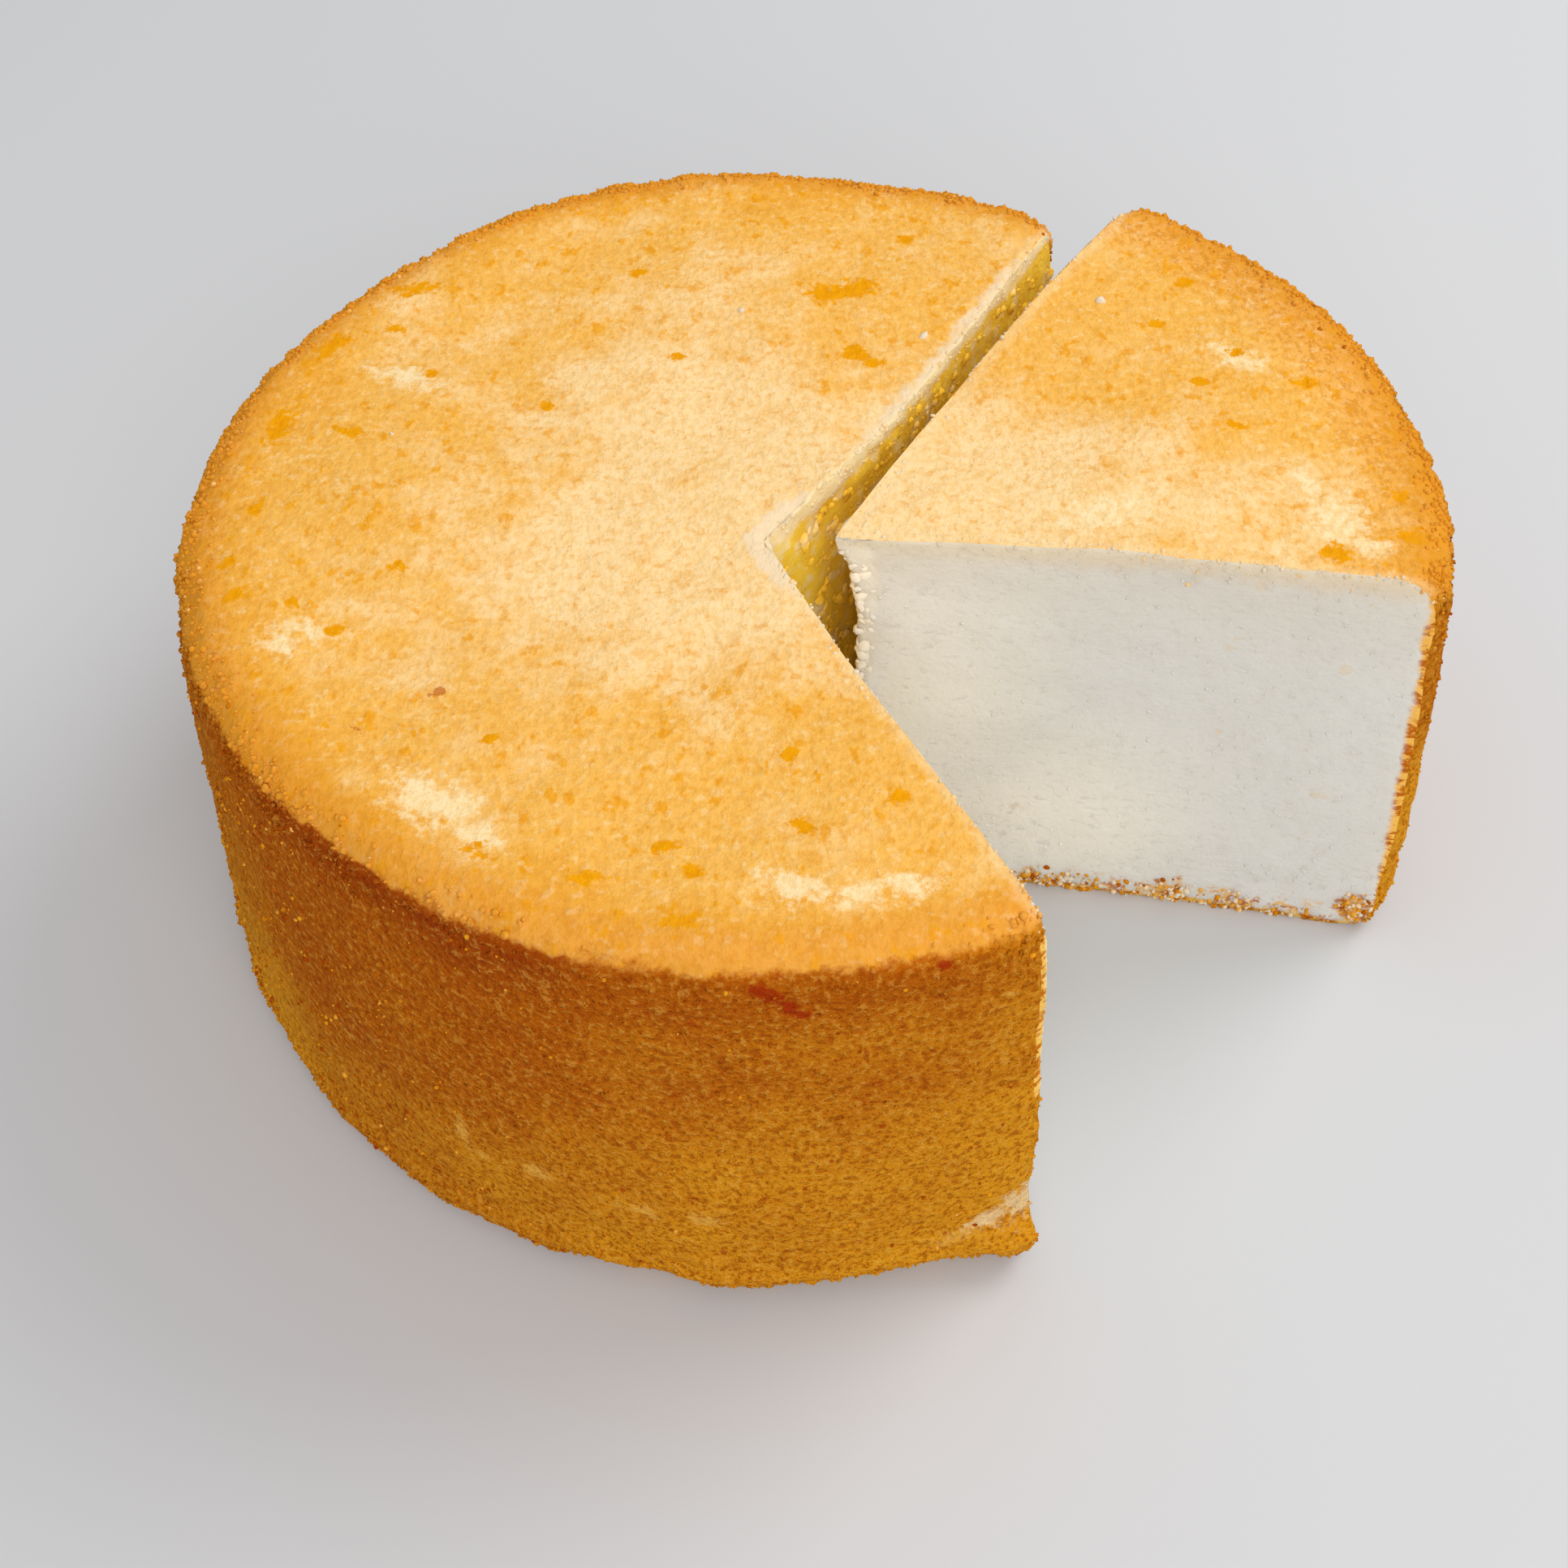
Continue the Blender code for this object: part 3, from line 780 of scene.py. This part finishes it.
class Paint:
    """Builds one material's nodes. Each method adds a node and gives its output back."""

    def __init__(self, name, roughness, specular):
        self.material = bpy.data.materials.new(name)
        self.material.use_nodes = True
        self.tree = self.material.node_tree
        self.shader = self.tree.nodes["Principled BSDF"]
        self.shader.inputs["Roughness"].default_value = roughness
        self.shader.inputs["Specular IOR Level"].default_value = specular
        self.place = self.add("ShaderNodeTexCoord").outputs["Object"]

    def soften(self):
        """Lets light travel under the surface."""
        self.shader.inputs["Subsurface Weight"].default_value = SOFT_SHARE
        self.shader.inputs["Subsurface Radius"].default_value = SOFT_COLOURS
        self.shader.inputs["Subsurface Scale"].default_value = SOFT_REACH

    def add(self, kind, inputs=(), **settings):
        made = self.tree.nodes.new(kind)
        for name, value in settings.items():
            setattr(made, name, value)
        for name, value in inputs:
            self.feed(made.inputs[name], value)
        return made

    def feed(self, socket, value):
        if isinstance(value, bpy.types.NodeSocket):
            self.tree.links.new(value, socket)
        else:
            socket.default_value = value

    def attribute(self, name):
        return self.add("ShaderNodeAttribute", attribute_name=name).outputs["Fac"]

    def math(self, operation, first, second):
        inputs = ((0, first), (1, second))
        return self.add("ShaderNodeMath", inputs, operation=operation).outputs[0]

    def step(self, value, low, high, bottom=0.0, top=1.0):
        """A smooth rise from bottom to top while the value goes from low to high."""
        inputs = (
            ("Value", value), ("From Min", low), ("From Max", high), ("To Min", bottom),
            ("To Max", top),
        )
        made = self.add("ShaderNodeMapRange", inputs, interpolation_type="SMOOTHSTEP")
        return made.outputs["Result"]

    def noise(self, size, detail=2.0, roughness=0.55, stretch=(1, 1, 1), shift=0.0):
        """Noise from 0 to 1 whose lumps are about this size in millimetres.

        The shift gives each noise a pattern of its own.
        """
        inputs = ((0, self.place), (1, stretch), (2, (shift, shift * 0.7, shift * 1.3)))
        place = self.add("ShaderNodeVectorMath", inputs, operation="MULTIPLY_ADD").outputs[0]
        inputs = (
            ("Vector", place), ("Scale", 1 / (size * MM)), ("Detail", detail), ("Roughness", roughness),
        )
        return self.add("ShaderNodeTexNoise", inputs).outputs["Fac"]

    def scaled(self, value, factor, shift=0.0):
        """The value times a factor, plus a shift."""
        inputs = ((0, value), (1, factor), (2, shift))
        return self.add("ShaderNodeMath", inputs, operation="MULTIPLY_ADD").outputs[0]

    def total(self, first, *others):
        for other in others:
            first = self.math("ADD", first, other)
        return first

    def swing(self, value, reach):
        """Noise from 0 to 1 turned into one that swings about 0."""
        return self.scaled(value, 2 * reach, -reach)

    def mark(self, attribute, ragged, high, strength):
        """Where a stored mark lies, with its edge broken up."""
        return self.step(self.total(self.attribute(attribute), ragged), 0.0, high, 0.0, strength)

    def mix(self, share, first, second):
        inputs = ((0, share), (6, first), (7, second))
        return self.add("ShaderNodeMix", inputs, data_type="RGBA").outputs[2]

    def tinted(self, colour, value, low, high, bottom, top):
        """The colour times a tint that goes from bottom to top with the value."""
        inputs = ((0, colour), (1, self.mix(self.step(value, low, high), bottom, top)))
        return self.add("ShaderNodeVectorMath", inputs, operation="MULTIPLY").outputs[0]

    def bump(self, height, distance, strength, below=None):
        """Bumps of a height from 0 to 1 over a distance in mm, on top of the bumps below."""
        inputs = [("Height", height), ("Distance", distance * MM), ("Strength", strength)]
        if below is not None:
            inputs.append(("Normal", below))
        return self.add("ShaderNodeBump", inputs).outputs["Normal"]

    def finish(self, colour, normal):
        self.feed(self.shader.inputs["Base Color"], colour)
        self.feed(self.shader.inputs["Normal"], normal)
        return self.material


def crust_material():
    """The velvety baked skin: pale gold in the middle of the top, brown and granular on the side."""
    paint = Paint("golden_crust", roughness=0.95, specular=0.03)
    from_rim = paint.attribute("from_rim")
    broad = paint.swing(paint.noise(24, detail=4), 1.0)
    middling = paint.swing(paint.noise(8, detail=4, roughness=0.6, shift=3.1), 1.0)
    small = paint.noise(2.2, detail=2, roughness=0.6, stretch=FORESHORTENED, shift=7.7)
    grain = paint.noise(0.9, detail=3, roughness=0.65, stretch=FORESHORTENED, shift=1.9)
    ragged = paint.swing(paint.noise(3.4, detail=5, roughness=0.7, shift=5.0), 1.3)
    frayed = paint.swing(paint.noise(1.7, detail=4, roughness=0.7, shift=8.3), 1.5)
    granules = paint.noise(0.8, detail=3, roughness=0.6, shift=4.4)
    top = top_colour(paint, from_rim, broad, middling, small, grain, frayed)
    side = side_colour(paint, broad, granules, frayed)
    # Over the rim, the top turns orange and then, on a ragged line, brown.
    front = paint.attribute("front")
    edge = paint.total(from_rim, paint.math("MULTIPLY", middling, 0.8))
    further_in = paint.step(front, 0.35, 0.0, 0.0, 1.6)
    edge = paint.total(edge, paint.math("MULTIPLY", frayed, 0.9), further_in)
    orange = paint.step(edge, 8.0, 2.0, 0.0, 0.9)
    orange = paint.math("MULTIPLY", orange, paint.scaled(front, -0.65, 1.0))
    colour = paint.mix(orange, top, RIM_ORANGE)
    colour = paint.mix(paint.step(edge, 0.2, -0.9), colour, side)
    # Where the knife has torn the crust, a pale lip shows.
    near_cut = paint.total(paint.attribute("from_cut"), paint.math("MULTIPLY", ragged, 0.8))
    on_top = paint.step(from_rim, -1, 2)
    lip = paint.math("MULTIPLY", paint.step(near_cut, 1.5, 0.2, 0.0, 0.3), on_top)
    colour = paint.mix(lip, colour, PATCH_PALE)
    torn = paint.total(paint.attribute("torn"), paint.math("MULTIPLY", frayed, 0.3))
    torn = paint.math("MULTIPLY", paint.step(torn, 0.25, 0.6, 0.0, 0.85), on_top)
    colour = paint.mix(torn, colour, TORN_PEACH)
    normal = paint.bump(grain, 0.35, 0.8)
    normal = paint.bump(small, 0.5, 0.4, normal)
    granular = paint.math("MULTIPLY", granules, paint.step(from_rim, 0.0, -1.5, 0.1, 1.0))
    normal = paint.bump(granular, 1.0, 1.0, normal)
    return paint.finish(colour, normal)


def plain_front(paint):
    """1 round the back and the sides of the rim, and less where it faces the front."""
    return paint.scaled(paint.attribute("front"), -0.8, 1.0)


def top_colour(paint, from_rim, broad, middling, small, grain, frayed):
    """Gold near the rim and paler towards the middle, mottled, with orange freckles and marks."""
    mottle = paint.total(broad, paint.math("MULTIPLY", middling, 1.3))
    paleness = paint.total(paint.attribute("paleness"), paint.math("MULTIPLY", mottle, 0.75))
    colour = paint.mix(paint.step(paleness, 0.0, 0.95), TOP_GOLD, TOP_PALE)
    inward = paint.total(from_rim, paint.math("MULTIPLY", mottle, 9.0))
    colour = paint.mix(paint.step(inward, 13.0, 0.0, 0.0, 0.55), colour, TOP_ORANGE)
    tan = paint.attribute("tan")
    colour = paint.mix(paint.scaled(tan, 0.6), colour, TAN)
    pores = paint.math("MULTIPLY", paint.step(grain, 0.50, 0.40, 0.0, 0.7), tan)
    colour = paint.mix(paint.math("MULTIPLY", pores, plain_front(paint)), colour, PORE_BROWN)
    rarer = paint.step(paleness, 1.0, 0.1, 0.2, 1.0)
    freckles = paint.math("MULTIPLY", paint.step(small, 0.58, 0.66, 0.0, 0.75), rarer)
    colour = paint.mix(freckles, colour, FRECKLE)
    specks = paint.noise(1.2, detail=2, shift=6.1)
    colour = paint.mix(paint.step(specks, 0.58, 0.68, 0.0, 0.4), colour, TOP_ORANGE)
    colour = paint.mix(paint.step(specks, 0.44, 0.32, 0.0, 0.3), colour, PATCH_PALE)
    colour = paint.mix(paint.mark("pale_mark", frayed, 0.8, 0.92), colour, PATCH_PALE)
    colour = paint.mix(paint.mark("orange_mark", frayed, 0.4, 1.0), colour, FRECKLE)
    colour = paint.mix(paint.mark("brown_mark", frayed, 0.4, 0.8), colour, MARK_BROWN)
    # Painted shade in the grain's pits and a painted highlight on its tips, following the grain's
    # bumps.
    return paint.tinted(colour, grain, 0.36, 0.60, PIT_SHADE_TINT, TIP_HIGHLIGHT_TINT)


def side_colour(paint, broad, granules, frayed):
    """Brown to gold, with dark and pale granules, and broad streaks that the tin has left level."""
    flow = paint.noise(5, detail=4, roughness=0.65, stretch=LEVEL, shift=2.3)
    # Browning darkens the front left, most just under the rim: partly the crust's own colour, partly
    # painted shade.
    browning_and_shade = paint.total(paint.attribute("browning_and_shade"), paint.math("MULTIPLY", broad, 0.5))
    colour = paint.mix(paint.step(browning_and_shade, 0.1, 0.9), SIDE_GOLD, SIDE_BROWN)
    colour = paint.mix(paint.step(browning_and_shade, 0.9, 1.5, 0.0, 0.7), colour, SIDE_DARK)
    colour = paint.mix(paint.step(flow, 0.46, 0.30, 0.0, 0.25), colour, SIDE_DARK)
    colour = paint.mix(paint.step(granules, 0.50, 0.36, 0.0, 0.55), colour, SIDE_DARK)
    colour = paint.mix(paint.step(granules, 0.53, 0.64, 0.0, 0.3), colour, SIDE_PALE)
    spots = paint.noise(1.7, detail=3, roughness=0.65, shift=9.4)
    colour = paint.mix(paint.step(spots, 0.63, 0.70, 0.0, 0.6), colour, MARK_RED)
    colour = paint.mix(paint.mark("pale_side", frayed, 1.0, 0.7), colour, SIDE_PALE)
    colour = paint.mix(paint.mark("cream_side", frayed, 0.8, 0.7), colour, PATCH_PALE)
    # Dark marks: partly painted shade under the rim.
    colour = paint.mix(paint.mark("dark_side_and_shade", frayed, 0.8, 0.8), colour, SIDE_DARK)
    return paint.mix(paint.mark("red_side", frayed, 0.7, 0.95), colour, MARK_RED)


def crumb_material(name, soft):
    """The open crumb of a cut: cream, with fine pores, and a ragged rind where the crust ends.

    The soft one, for the cut faces, lets some light through.
    """
    paint = Paint(name, roughness=0.95, specular=0.05)
    if soft:
        paint.soften()
    z = paint.add("ShaderNodeSeparateXYZ", ((0, paint.place),)).outputs["Z"]
    height = paint.math("MULTIPLY", z, 1 / MM)
    clouds = paint.noise(18, detail=3)
    pores = paint.noise(1.7, detail=3, roughness=0.65, stretch=LEVEL_PORES, shift=2.0)
    fine = paint.noise(0.7, detail=2, shift=4.0)
    ragged = paint.swing(paint.noise(4.4, detail=5, roughness=0.7, shift=6.0), 2.5)
    colour = paint.mix(paint.step(clouds, 0.35, 0.7, 0.0, 0.3), CRUMB_CREAM, CRUMB_SHADE)
    # Painted light in part: the warm, bright crumb lifts the parts that the large piece shades.
    colour = paint.mix(paint.attribute("warm_light_share"), colour, CRUMB_WARM_LIT)
    colour = paint.mix(paint.step(pores, 0.44, 0.32, 0.0, 0.5), colour, CRUMB_SHADE)
    pits = paint.noise(4.0, detail=2, shift=8.0)
    colour = paint.mix(paint.step(pits, 0.70, 0.76, 0.0, 0.6), colour, CRUMB_BEIGE)
    # The top millimetres take the crust's colour.
    below_top = paint.total(paint.scaled(height, -1.0, HEIGHT / MM), ragged)
    colour = paint.mix(paint.step(below_top, 22.0, 0.0, 0.0, 0.2), colour, CRUMB_BEIGE)
    colour = paint.mix(paint.step(below_top, 4.5, 0.6, 0.0, 0.8), colour, CRUMB_BEIGE)
    # The wall of the golden cut is painted as the light in the narrow gap makes it look: a pale lit
    # lip, and below it painted warm bounce light and the glow of light through the crumb, yellow with
    # paler lumps. The crumb itself is cream.
    lumps = paint.noise(3.6, detail=3, shift=9.0)
    bounce_glow = paint.mix(paint.step(lumps, 0.50, 0.66), KERF_GLOW_YELLOW, KERF_GLOW_CREAM)
    wall = paint.mix(paint.step(below_top, 1.6, 3.2), KERF_LIT_LIP, bounce_glow)
    colour = paint.mix(paint.attribute("golden_cut"), colour, wall)
    colour = paint.mix(paint.attribute("hidden_cut"), colour, HIDDEN_CREAM)
    # The rind: gold with brown bits, thin and broken.
    in_side = paint.total(paint.attribute("in_side"), paint.math("MULTIPLY", ragged, 0.5))
    above = paint.total(height, paint.math("MULTIPLY", ragged, 0.4))
    rind = paint.math("MAXIMUM", paint.step(in_side, 2.6, 1.6), paint.step(above, 1.7, 0.9))
    broken = paint.noise(1.8, detail=4, roughness=0.7, shift=3.3)
    spots = paint.step(broken, 0.50, 0.58, 0.0, 0.85)
    spots = paint.math("MULTIPLY", paint.step(above, 5.2, 2.2), spots)
    rind = paint.math("MAXIMUM", rind, spots)
    frayed = paint.swing(broken, 1.3)
    rind = paint.math("MAXIMUM", rind, paint.mark("foot_lump", frayed, 0.5, 0.9))
    rind_colour = paint.mix(paint.step(pores, 0.40, 0.54), SIDE_BROWN, TOP_GOLD)
    colour = paint.mix(rind, colour, rind_colour)
    normal = paint.bump(fine, 0.3, 0.7)
    normal = paint.bump(pores, 0.4, 0.6, normal)
    return paint.finish(colour, normal)


def bits_material():
    """Loose and half-sunk crumbs, from dark brown through gold to cream, by their tone."""
    paint = Paint("crumb_bits", roughness=0.95, specular=0.03)
    ramp = paint.add("ShaderNodeValToRGB", ((0, paint.attribute("tone")),))
    stops = (
        (0.0, SIDE_DARK), (0.3, SIDE_BROWN), (0.5, SIDE_GOLD), (0.66, TOP_GOLD), (0.82, TOP_PALE),
        (1.0, CRUMB_CREAM),
    )
    elements = ramp.color_ramp.elements
    elements[0].position, elements[0].color = stops[0]
    elements[1].position, elements[1].color = stops[-1]
    for position, colour in stops[1:-1]:
        elements.new(position).color = colour
    fine = paint.noise(0.3, detail=2)
    return paint.finish(ramp.outputs["Color"], paint.bump(fine, 0.12, 0.7))


# ---------------------------------------------------------------------------------------------
# Stage


def add_camera():
    data = bpy.data.cameras.new("camera")
    data.lens = CAMERA_LENS
    data.clip_start = CLOSEST_SEEN
    camera = bpy.data.objects.new("camera", data)
    tilt = Matrix.Rotation(math.pi / 2 - CAMERA_DOWN, 4, "X")
    roll = Matrix.Rotation(CAMERA_ROLL, 4, "Z")
    camera.matrix_world = Matrix.Translation(CAMERA_PLACE) @ tilt @ roll
    bpy.context.scene.collection.objects.link(camera)
    bpy.context.scene.camera = camera


def add_lamp(name, place, size, watts):
    data = bpy.data.lights.new(name, "AREA")
    data.shape = "DISK"
    data.size = size
    data.energy = watts
    lamp = bpy.data.objects.new(name, data)
    lamp.location = place
    lamp.rotation_euler = (LAMP_AIM - place).to_track_quat("-Z", "Y").to_euler()
    bpy.context.scene.collection.objects.link(lamp)


def add_floor():
    mesh = bpy.data.meshes.new("floor")
    half = FLOOR_SIZE / 2
    corners = [(-half, -half, 0), (half, -half, 0), (half, half, 0), (-half, half, 0)]
    mesh.from_pydata(corners, [], [(0, 1, 2, 3)])
    floor = bpy.data.objects.new("floor", mesh)
    bpy.context.scene.collection.objects.link(floor)
    material = bpy.data.materials.new("floor")
    material.use_nodes = True
    shader = material.node_tree.nodes["Principled BSDF"]
    shader.inputs["Base Color"].default_value = FLOOR_COLOUR
    shader.inputs["Roughness"].default_value = FLOOR_ROUGHNESS
    mesh.materials.append(material)


def add_world():
    world = bpy.data.worlds.new("studio")
    bpy.context.scene.world = world
    world.use_nodes = True
    background = world.node_tree.nodes["Background"]
    background.inputs["Color"].default_value = WORLD_GREY
    background.inputs["Strength"].default_value = WORLD_STRENGTH


def main():
    add_camera()
    add_world()
    add_floor()
    add_lamp("key", KEY_FROM, KEY_SIZE, KEY_WATTS)
    add_lamp("fill", FILL_FROM, FILL_SIZE, FILL_WATTS)
    bpy.context.scene.view_settings.view_transform = "Standard"
    crust, bits = crust_material(), bits_material()
    soft_crumb, loose_crumb = crumb_material("pale_crumb", True), crumb_material("loose_crumb", False)
    skins = []
    for piece in (LARGE, SLICE):
        skin = make_skin(piece, (crust, soft_crumb))
        sprinkle(piece, skin, crust, loose_crumb, bits)
        skins.append((piece, skin))
    drop_loose_crumbs(skins, bits)


main()
